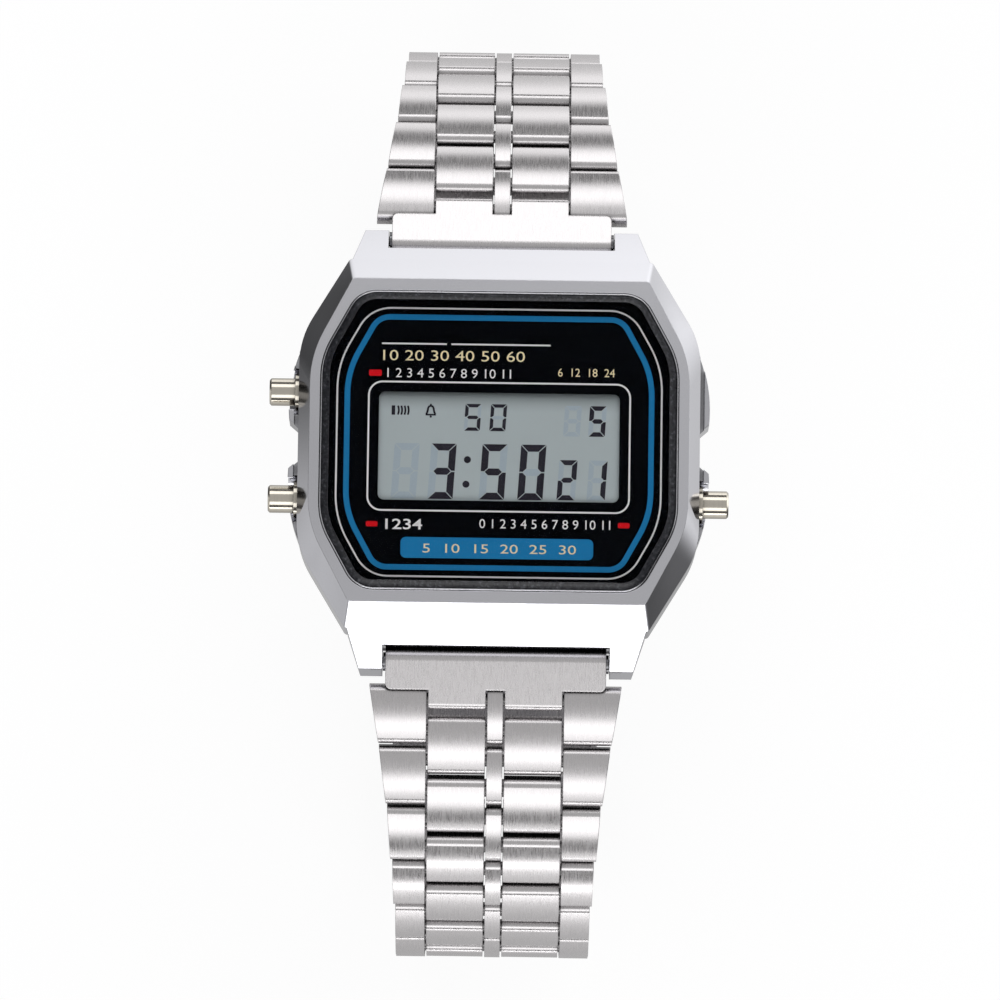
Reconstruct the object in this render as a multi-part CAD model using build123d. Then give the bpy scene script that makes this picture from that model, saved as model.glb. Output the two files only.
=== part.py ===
from build123d import *
import os
from math import asin, atan2, cos, degrees, hypot, pi, radians, sin, sqrt, tan

# Digital watch on a folded-link steel bracelet, closed, standing on its clasp.
# The dial faces +Z, 12 o'clock is +Y and 3 o'clock is +X.

# Fits
pin_gap = 0.03
side_gap = 0.14
seat_gap = 0.05
loose_gap = 0.3
overrun = 2.0

# Case, over its outer faces
case_width = 31.8
case_length = 29.5
case_top_edge = 24.0
case_side_edge = 16.6
case_end_corner = 0.4
case_side_corner = 7.0
foot_inset = 0.6
foot_height = 0.25
foot_chamfer = 1.0
crease_height = 5.9
plate_height = 7.9
plate_width = 30.0
plate_length = 25.8
plate_top_edge = 23.4
plate_side_edge = 13.3
plate_end_corner = 0.4
plate_side_corner = 8.8

# Lugs
lug_slot = 18.0
lug_reach = 3.2
lug_root_reach = 1.15
lug_tip_inset = 0.35
lug_tip_height = 2.85
lug_tip_width = 21.5
lug_base_width = 23.6
lug_foot = 0.15
lug_toe = 0.5
bar_height = 1.75
bar_inset = 1.05
bar_diameter = 1.5
bar_end_diameter = 0.8
bar_end_length = 0.9

# Side guards
guard_width = 33.3
guard_mid_width = 32.8
guard_mid_length = 11.4
guard_end_width = 30.6
guard_end_length = 17.4
guard_tail_width = 27.8
guard_tail_length = 22.0
guard_top = 4.9
guard_bottom = 1.4
notch_length = 2.6
notch_mouth = 3.9
groove_width = 0.35
groove_depth = 0.7

# Crystal and dial
crystal_width = 27.96
crystal_length = 23.5
crystal_top_edge = 22.2
crystal_side_edge = 13.0
crystal_end_corner = 2.3
crystal_side_corner = 5.9
crystal_thickness = 1.45
crystal_bevel = 0.5
crystal_bevel_height = 0.2
crystal_proud = 0.25
crystal_seal = 0.2
dial_thickness = 0.2
ledge_width = 0.9
ledge_thickness = 0.55
window_width = 19.04
window_length = 8.66
window_corner = 0.5
window_drop = 0.3

# Case back
back_thickness = 0.8
back_overlap = 2.25
cavity_width = 25.6
cavity_length = 23.4
cavity_top_edge = 19.2
cavity_side_edge = 13.2
cavity_corner = 1.0
gasket_inset = 0.2
gasket_width = 0.45
gasket_height = 0.5
screw_spacing_x = 24.0
screw_spacing_y = 21.5
screw_diameter = 1.0
screw_length = 2.4
screw_head = 1.6
screw_head_height = 0.4
screw_slot_width = 0.25
screw_slot_depth = 0.2

# Module
module_gap = 0.35
buzzer_thickness = 0.12
buzzer_diameter = 16.0
buzzer_x = 3.5
buzzer_y = 3.0
clip_thickness = 0.15
clip_width = 4.0
clip_overlap = 2.2
battery_diameter = 20.0
battery_thickness = 1.6
battery_cap = 17.0
battery_step = 0.2
battery_edge = 0.3
holder_bottom = 0.97
board_thickness = 0.6
board_inset = 0.2
shelf_height = 1.15
shelf_margin = 0.8
reflector_thickness = 0.15
lcd_side_margin = 0.98
lcd_end_margin = 1.67
lcd_thickness = 1.65
lcd_step = 1.3
lcd_glass = 0.8
strip_end = 1.0
strip_width = 1.1
strip_inset = 0.35
chip_diameter = 6.0
chip_height = 0.9
chip_x = -3.0
quartz_diameter = 1.0
quartz_length = 4.6
quartz_x = 6.0
lamp_length = 1.6
lamp_width = 1.2
lamp_height = 0.9
coil_x = 9.0
coil_y = 7.6
coil_radius = 0.6
coil_wire = 0.2
coil_pitch = 0.55
contact_thickness = 0.15
contact_width = 1.8
contact_foot = 0.9
rim_height = 0.5
rim_inset = 0.9

# Pushers
pusher_spacing = 8.58
pusher_height = 3.8
pusher_diameter = 2.2
pusher_stand = 1.6
pusher_edge = 0.15
pusher_travel = 0.7
neck_diameter = 1.2
bush_diameter = 3.0
bush_reach = 32.4
bush_floor = 0.4
bush_seat = 0.6
scallop_diameter = 3.8
seal_width = 0.4
seal_depth = 0.25
seal_offset = 0.4
shoulder_room = 1.3
clip_ring_diameter = 2.2
clip_ring_thickness = 0.25
neck_tail = 0.4
spring_wire = 0.18
spring_turns = 3

# Bracelet blocks, folded from sheet round two pins
pitch = 4.92
block_gap = 0.22
block_thickness = 2.0
block_crown = 0.38
block_edge = 0.65
pin_diameter = 1.0
pin_recess = 0.15
seam_width = 0.14
middle_width = 4.55
centre_width = 1.25
strap_width = 15.6
taper_widths = [(20.0, 18.5), (18.4, 17.2), (17.0, 16.4), (16.1, 15.9)]
end_link_width = 17.5
end_link_reach = 2.95
end_link_back = 1.2
end_link_round = 0.9
prong_tip = 0.72
prong_edge = 0.5
prong_corner = 0.35
shoulder_corner = 0.5

# Angle of each row below the dial's plane, in degrees, from the case to the clasp
end_degrees_12 = 18
row_degrees_12 = [20, 30, 41, 55, 69, 86, 104, 123, 143, 163, 177]
end_degrees_6 = 16
row_degrees_6 = [17.5, 19, 31.5, 48, 62, 78, 95, 113, 133, 154, 174]
still_row_count = 6

# Clasp
cover_width = 17.0
cover_wall = 0.5
cover_floor = 0.7
cover_height = 3.1
cover_corner = 0.7
cover_end = 1.1
blade_thickness = 0.6
blade_gap = 0.25
fold_inset_6 = 3.5
fold_inset_12 = 3.4
fold_pin = 0.7
fold_eye = 1.5
turn_pin = 0.8
turn_eye = 1.7
turn_knuckle = 4.8
turn_plate_gap = 1.0
strap_eye = 1.9
tongue_start = 1.9
floor_start = 0.7
floor_end = 0.3
hole_spacing = 2.6
hole_count = 3


def octagon(width, length, top_edge, side_edge, end_radius, side_radius):
    """A rectangle with long chamfers, like the watch's face, its corners rounded."""
    corners = [
        (width / 2, side_edge / 2), (top_edge / 2, length / 2),
        (-top_edge / 2, length / 2), (-width / 2, side_edge / 2),
        (-width / 2, -side_edge / 2), (-top_edge / 2, -length / 2),
        (top_edge / 2, -length / 2), (width / 2, -side_edge / 2),
    ]
    outline = make_face(Polyline(*corners, close=True))
    rows = outline.vertices().group_by(Axis.Y)
    outline = fillet(rows[0] + rows[-1], end_radius)
    columns = outline.vertices().group_by(Axis.X)
    return fillet(columns[0] + columns[-1], side_radius)


def slab(outline, low, high):
    """An outline in the XY plane, raised from one height to another."""
    return extrude(Pos(0, 0, low) * outline, high - low)


def box(x0, x1, y0, y1, z0, z1):
    """A box between two corners."""
    middle = Pos((x0 + x1) / 2, (y0 + y1) / 2, (z0 + z1) / 2)
    return middle * Box(x1 - x0, y1 - y0, z1 - z0)


def rod(radius, x0, x1, y=0, z=0):
    """A cylinder along X."""
    return Pos(x0, y, z) * Rot(0, 90, 0) * Cylinder(
        radius, x1 - x0, align=(Align.CENTER, Align.CENTER, Align.MIN))


def post(radius, low, high, x=0, y=0):
    """A cylinder along Z."""
    return Pos(x, y, low) * Cylinder(
        radius, high - low, align=(Align.CENTER, Align.CENTER, Align.MIN))


def across(profile, x0, x1):
    """A profile drawn in the YZ plane, carried along X."""
    return extrude(Plane.YZ.offset(x0) * profile, x1 - x0)


def coil(radius, wire, turn_pitch, height):
    """An open coil of round wire, standing on the XY plane."""
    path = Helix(turn_pitch, height, radius)
    section = Plane(origin=path @ 0, z_dir=path % 0) * Circle(wire / 2)
    return sweep(section, path=path, is_frenet=True)


# Spans that follow each other
lug_span = case_length + 2 * lug_reach
lug_root = case_length + 2 * lug_root_reach
lug_tip_span = lug_span - 2 * lug_tip_inset
lcd_width = window_width + 2 * lcd_side_margin
lcd_length = window_length + 2 * lcd_end_margin
strip_length = lcd_width - 2 * strip_end
pusher_reach = guard_width + 2 * pusher_stand

# Outlines that follow each other
case_lean = atan2(case_width - case_top_edge, case_length - case_side_edge)
wide_outline = octagon(case_width, case_length, case_top_edge, case_side_edge,
                       case_end_corner, case_side_corner)
foot_outline = octagon(case_width - 2 * foot_inset, case_length - 2 * foot_inset,
                       case_top_edge - 2 * foot_inset * tan(pi / 4 - case_lean / 2),
                       case_side_edge - 2 * foot_inset * tan(case_lean / 2),
                       case_end_corner, case_side_corner)
plate_outline = octagon(plate_width, plate_length, plate_top_edge, plate_side_edge,
                        plate_end_corner, plate_side_corner)
crystal_outline = octagon(crystal_width, crystal_length, crystal_top_edge, crystal_side_edge,
                          crystal_end_corner, crystal_side_corner)
cavity_outline = octagon(cavity_width, cavity_length, cavity_top_edge, cavity_side_edge,
                         cavity_corner, cavity_corner)

# Heights that follow each other, above the case's underside
crystal_top = plate_height + crystal_proud
crystal_base = crystal_top - crystal_thickness
ledge_top = crystal_base - dial_thickness
ledge_base = ledge_top - ledge_thickness
battery_base = holder_bottom + clip_thickness
board_base = battery_base + battery_thickness + seat_gap
board_top = board_base + board_thickness
shelf_top = board_top + shelf_height
lcd_base = shelf_top + reflector_thickness
lcd_top = lcd_base + lcd_thickness
cavity_half = cavity_width / 2
bush_inner = cavity_half + bush_seat
bush_bore = pusher_diameter / 2 + pin_gap
neck_bore = neck_diameter / 2 + pin_gap
shoulder = bush_inner + bush_floor + shoulder_room
neck_end = cavity_half - neck_tail - clip_ring_thickness - seat_gap
contact_face = neck_end - pusher_travel - loose_gap
bar_place = lug_span / 2 - bar_inset

# Pushers: name, side in X, side in Y
pushers = [("light", -1, 1), ("mode", -1, -1), ("start", 1, -1)]
pusher_y = pusher_spacing / 2


def at_pushers(shape):
    """Copies of a shape made for +X and +Y, one at each pusher."""
    copies = []
    for name, side, end in pushers:
        turned = shape if side > 0 else mirror(shape, about=Plane.YZ)
        copies.append(turned if end > 0 else mirror(turned, about=Plane.XZ))
    return copies


def lug_block():
    """The sloped end at 12 o'clock, with its two lugs."""
    inner = case_length / 2 - overrun
    profile = make_face(Polyline(
        (inner, lug_foot), (lug_span / 2 - lug_toe, lug_foot), (lug_span / 2, lug_foot + lug_toe),
        (lug_tip_span / 2, lug_tip_height), (case_length / 2, crease_height),
        (inner, crease_height), close=True))
    plan = make_face(Polyline(
        (lug_base_width / 2, inner), (lug_base_width / 2, case_length / 2),
        (lug_tip_width / 2, lug_span / 2), (-lug_tip_width / 2, lug_span / 2),
        (-lug_base_width / 2, case_length / 2), (-lug_base_width / 2, inner), close=True))
    block = across(profile, -lug_base_width / 2, lug_base_width / 2)
    block &= slab(plan, 0, crease_height)
    block -= box(-lug_slot / 2, lug_slot / 2, lug_root / 2, lug_span / 2 + overrun,
                 -overrun, crease_height)
    block -= rod(block_thickness / 2 + loose_gap + 2 * seat_gap,
                 -lug_slot / 2, lug_slot / 2, bar_place, bar_height)
    hole = lug_slot / 2 + bar_end_length + seat_gap
    block -= rod(bar_end_diameter / 2 + pin_gap, -hole, hole, bar_place, bar_height)
    return block


def guard():
    """The rib that shields the pushers, on the +X side."""
    upper = make_face(Polyline(
        (plate_width / 2, notch_length / 2), (case_width / 2, notch_length / 2),
        (guard_width / 2, notch_mouth / 2)) + ThreePointArc(
            (guard_width / 2, notch_mouth / 2), (guard_mid_width / 2, guard_mid_length / 2),
            (guard_end_width / 2, guard_end_length / 2)) + Polyline(
                (guard_end_width / 2, guard_end_length / 2),
                (guard_tail_width / 2, guard_tail_length / 2),
                (cavity_half, guard_end_length / 2), (plate_width / 2, notch_length / 2)))
    rib = slab(upper, guard_bottom, guard_top)
    rib -= box(case_width / 2, case_width / 2 + groove_width, 0, guard_end_length / 2,
               guard_top - groove_depth, guard_top)
    return rib


def case_body():
    """The steel case: plate, slopes, lugs, guards, cavity and pusher seats."""
    body = slab(wide_outline, foot_height + foot_chamfer, crease_height)
    body += loft([Pos(0, 0, foot_height) * foot_outline,
                  Pos(0, 0, foot_height + foot_chamfer) * wide_outline], ruled=True)
    body += loft([Pos(0, 0, crease_height) * wide_outline,
                  Pos(0, 0, plate_height) * plate_outline], ruled=True)
    end = lug_block()
    body += end
    body += mirror(end, about=Plane.XZ)
    rib = guard()
    for half in (rib, mirror(rib, about=Plane.XZ)):
        body += half
        body += mirror(half, about=Plane.YZ)
    for scallop in at_pushers(rod(scallop_diameter / 2, case_width / 2, guard_width / 2 + overrun,
                                  pusher_y, pusher_height)):
        body -= scallop
    pocket = offset(crystal_outline, crystal_seal)
    body -= slab(pocket, ledge_top, plate_height + overrun)
    body -= slab(offset(crystal_outline, -ledge_width), ledge_base, ledge_top)
    body -= slab(cavity_outline, -overrun, ledge_base)
    body -= slab(offset(cavity_outline, back_overlap + seat_gap), -overrun, back_thickness)
    body -= (slab(offset(cavity_outline, gasket_inset + gasket_width + seat_gap),
                  back_thickness, back_thickness + gasket_height + seat_gap)
             - slab(offset(cavity_outline, gasket_inset - seat_gap),
                    back_thickness, back_thickness + gasket_height + seat_gap))
    for x, y in screw_places():
        body -= post(screw_diameter / 2 + pin_gap, 0, screw_length + seat_gap, x, y)
    seat = rod(bush_diameter / 2, bush_inner, guard_width, pusher_y, pusher_height)
    seat += rod(neck_bore + pin_gap, cavity_half - overrun, bush_inner, pusher_y, pusher_height)
    for bore in at_pushers(seat):
        body -= bore
    return body


def screw_places():
    """The four screws that hold the back."""
    return [(x * screw_spacing_x / 2, y * screw_spacing_y / 2) for x in (-1, 1) for y in (-1, 1)]


def case_back():
    """The plate that closes the case, with its sunk screw holes."""
    plate = slab(offset(cavity_outline, back_overlap), 0, back_thickness)
    for x, y in screw_places():
        plate -= post(screw_diameter / 2 + pin_gap, 0, back_thickness, x, y)
        plate -= post(screw_head / 2 + pin_gap, 0, screw_head_height, x, y)
    return plate


def back_screws():
    """Slotted screws with flat heads."""
    screws = []
    for x, y in screw_places():
        screw = post(screw_diameter / 2, 0, screw_length, x, y)
        screw += post(screw_head / 2, 0, screw_head_height, x, y)
        screw -= box(x - screw_head, x + screw_head, y - screw_slot_width / 2,
                     y + screw_slot_width / 2, 0, screw_slot_depth)
        screws.append(screw)
    return screws


def back_gasket():
    """The rubber ring in the case's groove."""
    high = back_thickness + gasket_height
    return (slab(offset(cavity_outline, gasket_inset + gasket_width), back_thickness, high)
            - slab(offset(cavity_outline, gasket_inset), back_thickness, high))


def crystal():
    """The clear plate over the dial, bevelled round its top."""
    shoulder_z = crystal_top - crystal_bevel_height
    body = slab(crystal_outline, crystal_base, shoulder_z)
    top = offset(crystal_outline, -crystal_bevel)
    body += loft([Pos(0, 0, shoulder_z) * crystal_outline, Pos(0, 0, crystal_top) * top],
                 ruled=True)
    return body


def crystal_gasket():
    """The thin ring that holds the crystal in its pocket."""
    high = plate_height - crystal_bevel_height
    return (slab(offset(crystal_outline, crystal_seal - pin_gap), crystal_base, high)
            - slab(offset(crystal_outline, pin_gap), crystal_base, high))


def window(grow):
    """The dial's opening, grown by a margin."""
    return Pos(0, -window_drop) * RectangleRounded(
        window_width + 2 * grow, window_length + 2 * grow, window_corner + grow)


def dial_plate():
    """The printed plate behind the crystal."""
    plate = slab(offset(crystal_outline, crystal_seal - seat_gap), ledge_top, crystal_base)
    return plate - slab(window(0), ledge_top, crystal_base)


def lcd_panel():
    """Two sheets of glass, the lower one longer so that the strips reach it."""
    low = slab(Pos(0, -window_drop) * Rectangle(lcd_width, lcd_length),
               lcd_base, lcd_base + lcd_glass)
    high = slab(Pos(0, -window_drop) * Rectangle(lcd_width, lcd_length - lcd_step),
                lcd_base + lcd_glass, lcd_top)
    return low + high


def lcd_reflector():
    """The sheet under the display."""
    return slab(Pos(0, -window_drop) * Rectangle(
        lcd_width, lcd_length - 2 * strip_inset - 2 * strip_width - 2 * seat_gap),
        shelf_top, lcd_base)


def strip_y():
    """How far each connector strip lies from the display's middle."""
    return lcd_length / 2 - strip_inset - strip_width / 2


def connector_strips():
    """Rubber strips that carry the display's lines down to the board."""
    return [box(-strip_length / 2, strip_length / 2,
                side * strip_y() - window_drop - strip_width / 2,
                side * strip_y() - window_drop + strip_width / 2,
                board_top, lcd_base) for side in (-1, 1)]


def pusher_rooms(inner, low, high):
    """Room in the module for each pusher's clip and contact."""
    half = clip_ring_diameter / 2 + loose_gap
    return at_pushers(box(inner, cavity_half + overrun, pusher_y - half, pusher_y + half, low, high))


def room_inner():
    """Where the contact's foot ends, towards the middle."""
    return contact_face - contact_foot - loose_gap


def module_frame():
    """The moulded frame that carries the display."""
    frame = slab(offset(cavity_outline, -module_gap), board_top, ledge_base - seat_gap)
    rim = offset(crystal_outline, -ledge_width - rim_inset)
    frame += slab(rim, ledge_base - seat_gap, ledge_top - seat_gap)
    middle = Pos(0, -window_drop)
    frame -= slab(middle * Rectangle(lcd_width + 2 * seat_gap, lcd_length + 2 * seat_gap),
                  shelf_top, ledge_top)
    frame -= slab(middle * Rectangle(window_width - 2 * shelf_margin, window_length
                                     - 2 * shelf_margin), board_top, shelf_top)
    for side in (-1, 1):
        y = side * strip_y() - window_drop
        half = strip_width / 2 + seat_gap
        frame -= box(-strip_length / 2 - seat_gap, strip_length / 2 + seat_gap,
                     y - half, y + half, board_top, shelf_top)
    for room in pusher_rooms(room_inner(), board_top, pusher_height + clip_ring_diameter / 2
                             + loose_gap):
        frame -= room
    return frame


def circuit_board():
    """The board, notched at the pushers."""
    board = slab(offset(cavity_outline, -module_gap - board_inset), board_base, board_top)
    for room in pusher_rooms(contact_face + contact_thickness, board_base, board_top):
        board -= room
    return board


def battery_holder():
    """The lower frame, round the cell."""
    holder = slab(offset(cavity_outline, -module_gap), holder_bottom, board_base)
    holder -= post(battery_diameter / 2 + seat_gap, holder_bottom, board_base)
    holder -= post(coil_radius + coil_wire + seat_gap, holder_bottom, board_base, coil_x, coil_y)
    bottom = pusher_height - clip_ring_diameter / 2 - loose_gap
    for room in pusher_rooms(contact_face, bottom, board_base):
        holder -= room
    half = clip_width / 2 + seat_gap
    holder -= box(-half, half, -cavity_length / 2, cavity_length / 2, holder_bottom, battery_base)
    return holder


def battery():
    """A coin cell, its cap towards the board."""
    can = post(battery_diameter / 2, battery_base, battery_base + battery_thickness - battery_step)
    can = fillet(can.edges().group_by(Axis.Z)[0], battery_edge)
    return can + post(battery_cap / 2, battery_base, battery_base + battery_thickness)


def battery_clip():
    """The strap under the cell, hooked on the holder."""
    reach = battery_diameter / 2 + clip_overlap / 2
    return box(-clip_width / 2, clip_width / 2, -reach, reach, holder_bottom, battery_base)


def contact_blades():
    """Spring blades that the pushers touch, each with a foot on the board."""
    blade = box(contact_face, contact_face + contact_thickness, pusher_y - contact_width / 2,
                pusher_y + contact_width / 2, board_top, pusher_height + neck_diameter / 2)
    blade += box(contact_face - contact_foot, contact_face, pusher_y - contact_width / 2,
                 pusher_y + contact_width / 2, board_top, board_top + contact_thickness)
    return at_pushers(blade)


def quartz_can():
    """The crystal's can, lying on the board."""
    can = Pos(quartz_x, -window_drop, board_top + quartz_diameter / 2) * Rot(90, 0, 0)
    return can * Cylinder(quartz_diameter / 2, quartz_length)


def lamp():
    """The small lamp at the display's left edge."""
    left = -(window_width / 2 - shelf_margin) + seat_gap
    return box(left, left + lamp_width, -window_drop - lamp_length / 2,
               -window_drop + lamp_length / 2, board_top, board_top + lamp_height)


def buzzer_spring():
    """The coil that carries the tone signal from the board to the disc."""
    low = back_thickness + buzzer_thickness + coil_wire
    height = board_base - coil_wire - low
    return Pos(coil_x, coil_y, low) * coil(coil_radius, coil_wire, coil_pitch, height)


def pusher_bushes():
    """Turned bushes pressed into the case wall."""
    outer = bush_reach / 2
    bush = rod(bush_diameter / 2, bush_inner, outer, pusher_y, pusher_height)
    bush -= rod(bush_bore, bush_inner + bush_floor, outer, pusher_y, pusher_height)
    bush -= rod(neck_bore, bush_inner, outer, pusher_y, pusher_height)
    return at_pushers(bush)


def pusher_parts():
    """Button, retaining clip and seal ring, for each pusher."""
    tip = pusher_reach / 2
    head = rod(pusher_diameter / 2, shoulder, tip, pusher_y, pusher_height)
    head = chamfer(head.edges().group_by(Axis.X)[-1], pusher_edge)
    seal_low = shoulder + seal_offset
    groove = (rod(pusher_diameter, seal_low, seal_low + seal_width, pusher_y, pusher_height)
              - rod(pusher_diameter / 2 - seal_depth, seal_low, seal_low + seal_width,
                    pusher_y, pusher_height))
    neck = rod(neck_diameter / 2, neck_end, shoulder, pusher_y, pusher_height)
    button = head - groove + neck
    clip_low = cavity_half - seat_gap - clip_ring_thickness
    clip = (rod(clip_ring_diameter / 2, clip_low, clip_low + clip_ring_thickness,
                pusher_y, pusher_height)
            - rod(neck_diameter / 2, clip_low, clip_low + clip_ring_thickness,
                  pusher_y, pusher_height))
    seal = (rod(pusher_diameter / 2, seal_low, seal_low + seal_width, pusher_y, pusher_height)
            - rod(pusher_diameter / 2 - seal_depth, seal_low, seal_low + seal_width,
                  pusher_y, pusher_height))
    return [at_pushers(piece) for piece in (button, clip, seal)]


def pusher_spring():
    """The return spring between the bush's floor and the button's shoulder."""
    room = shoulder_room - spring_wire - 2 * seat_gap
    radius = (bush_bore + neck_diameter / 2) / 2
    spring = coil(radius, spring_wire, room / spring_turns, room)
    start = bush_inner + bush_floor + spring_wire / 2 + seat_gap
    return Pos(start, pusher_y, pusher_height) * Rot(0, 90, 0) * spring


def lug_spring_bars():
    """The sprung bars between the lugs."""
    bars = []
    tip = lug_slot / 2 + bar_end_length
    for side in (1, -1):
        bar = rod(bar_diameter / 2, -lug_slot / 2 + seat_gap, lug_slot / 2 - seat_gap,
                  side * bar_place, bar_height)
        bar += rod(bar_end_diameter / 2, -tip, tip, side * bar_place, bar_height)
        bars.append(bar)
    return bars


# Bracelet sizes that follow
pin_step = pitch / 2
block_length = pitch - block_gap
middle_inner = centre_width / 2 + side_gap
middle_outer = middle_inner + middle_width
outer_inner = middle_outer + side_gap
eye_radius = pin_diameter / 2 + pin_gap
block_low = block_thickness / 2 - block_crown
block_turn = hypot((block_length - pin_step) / 2 - block_edge,
                   block_thickness / 2 - block_edge) + block_edge
seat_radius = block_turn + 2 * seat_gap


def block_profile(centre):
    """Side view of a block: domed outside, hollow round its two pins, seam inside."""
    half = block_length / 2
    high = block_thickness / 2
    face = make_face(Polyline((-half, block_low), (-half, -high), (half, -high), (half, block_low))
                     + ThreePointArc((half, block_low), (0, high), (-half, block_low)))
    face = fillet(face.vertices(), block_edge)
    face -= Rectangle(pin_step, 2 * eye_radius)
    for side in (-1, 1):
        face -= Pos(side * pin_step / 2, 0) * Circle(eye_radius)
    face -= Pos(0, -high / 2) * Rectangle(seam_width, high)
    return Pos(centre, 0) * face


def outer_blocks(centre, near_width, far_width):
    """The left and right blocks of an outer row, tapered in plan."""
    profile = block_profile(centre)
    half = block_length / 2
    plan = make_face(Polyline(
        (outer_inner, centre - half), (near_width / 2, centre - half),
        (far_width / 2, centre + half), (outer_inner, centre + half), close=True))
    right = across(profile, outer_inner, max(near_width, far_width) / 2)
    if near_width != far_width:
        right &= slab(plan, -block_thickness, block_thickness)
    return [right, mirror(right, about=Plane.YZ)]


def cross_pin(place, width):
    """A pin right across a row."""
    half = width / 2 - pin_recess
    return rod(pin_diameter / 2, -half, half, place)


def row_widths(row):
    """Width of the row at its near and far end."""
    if row < len(taper_widths):
        return taper_widths[row]
    return (strap_width, strap_width)


def pin_widths(row):
    """Width of the row at its near and far pin."""
    near, far = row_widths(row)
    inset = (far - near) * (block_length - pin_step) / 2 / block_length
    return near + inset, far - inset


def link(row):
    """One link: the middle blocks behind its row, then the row, with its pins."""
    near, far = row_widths(row)
    near_pin, far_pin = pin_widths(row)
    start = 0 if row == 0 else pin_step
    centre = start + pin_step / 2
    solids = outer_blocks(centre, near, far)
    solids.append(across(block_profile(centre), -centre_width / 2, centre_width / 2))
    if row > 0:
        middle = across(block_profile(pin_step / 2), middle_inner, middle_outer)
        solids += [middle, mirror(middle, about=Plane.YZ), cross_pin(pin_step, near_pin)]
    solids.append(cross_pin(start + pin_step, far_pin))
    return solids


def end_link():
    """The piece between the lugs, hollowed for the first row, which its two prongs hold."""
    half = end_link_width / 2
    high = block_thickness / 2
    tip = end_link_reach + prong_tip
    edge = end_link_reach - sqrt(seat_radius ** 2 - high ** 2)
    side = make_face(Polyline((-end_link_back, -high), (tip, -high), (tip, high),
                              (-end_link_back, high), close=True))
    side = fillet(side.vertices().group_by(Axis.X)[0], end_link_round)
    side = fillet(side.vertices().group_by(Axis.X)[-1], prong_edge)
    body = across(side, -half, half)
    plan = make_face(Polyline(
        (-half, -end_link_back), (half, -end_link_back), (half, edge),
        (-half, edge), close=True))
    plan = fillet(plan.vertices().group_by(Axis.Y)[-1], shoulder_corner)
    prong = make_face(Polyline(
        (middle_inner, 0), (middle_outer, 0), (middle_outer, tip), (middle_inner, tip), close=True))
    prong = fillet(prong.vertices().group_by(Axis.Y)[-1], prong_corner)
    plan += prong
    plan += mirror(prong, about=Plane.YZ)
    body &= slab(plan, -block_thickness, block_thickness)
    for inner, outer in ((-half - overrun, -middle_outer), (-middle_inner, middle_inner),
                         (middle_outer, half + overrun)):
        body -= rod(seat_radius, inner, outer, end_link_reach)
    body -= rod(bar_diameter / 2 + pin_gap, -half, half)
    body -= rod(eye_radius, -half, half, end_link_reach)
    return [body, cross_pin(end_link_reach, pin_widths(0)[0])]


def walk(end_degrees, angles):
    """Places of the hinges from a lug bar outwards, as (outwards, up) from the bar."""
    places = [(0, 0)]
    lengths = [end_link_reach, pin_step] + [pitch] * (len(angles) - 1)
    for angle, length in zip([end_degrees] + angles, lengths):
        out, up = places[-1]
        places.append((out + length * cos(radians(angle)), up - length * sin(radians(angle))))
    return places


def closed_angles(target):
    """The 6 o'clock angles, with the tail turned so that its end reaches the target drop."""
    places = walk(end_degrees_6, row_degrees_6)
    pivot, end = places[still_row_count], places[-1]
    reach = hypot(end[0] - pivot[0], end[1] - pivot[1])
    turn = degrees(asin((pivot[1] - end[1]) / reach) - asin((pivot[1] - target) / reach))
    still = row_degrees_6[:still_row_count - 1]
    return still + [angle + turn for angle in row_degrees_6[still_row_count - 1:]]


walk_12 = walk(end_degrees_12, row_degrees_12)
closed_degrees_6 = closed_angles(walk_12[-1][1])
walk_6 = walk(end_degrees_6, closed_degrees_6)
pin_height = cover_floor + loose_gap + block_thickness / 2
case_base = pin_height - walk_12[-1][1] - bar_height


def strap_frame(side, out, up, angle):
    """A plane whose Y runs along the strap and whose Z looks away from the wrist."""
    turn = radians(angle)
    return Plane(origin=(0, side * (bar_place + out), case_base + bar_height + up),
                 x_dir=(side, 0, 0), z_dir=(0, side * sin(turn), cos(turn)))


def strap(side, label, end_degrees, angles, places):
    """One half of the bracelet: its nodes and its pivots."""
    nodes, pivots = {}, {}
    shapes = [end_link()] + [link(row) for row in range(len(angles))]
    names = ["end_link_" + label] + [f"link_{label}_{row + 1:02d}" for row in range(len(angles))]
    for name, solids, place, angle in zip(names, shapes, places, [end_degrees] + angles):
        frame = strap_frame(side, place[0], place[1], angle)
        nodes[name] = [frame.location * solid for solid in solids]
        pivots[name] = frame.origin
    return nodes, pivots


# Clasp places along Y and heights, from the ends of the two straps
end_12 = bar_place + walk_12[-1][0]
end_6 = -bar_place - walk_6[-1][0]
fold_y = end_12 - fold_inset_12
fold_z = cover_floor + fold_eye / 2 + 2 * seat_gap
turn_y = end_6 + fold_inset_6
outer_low = cover_floor + blade_gap
inner_low = fold_z + fold_eye / 2 + 2 * seat_gap
turn_z = (outer_low + inner_low + blade_thickness) / 2


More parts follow.
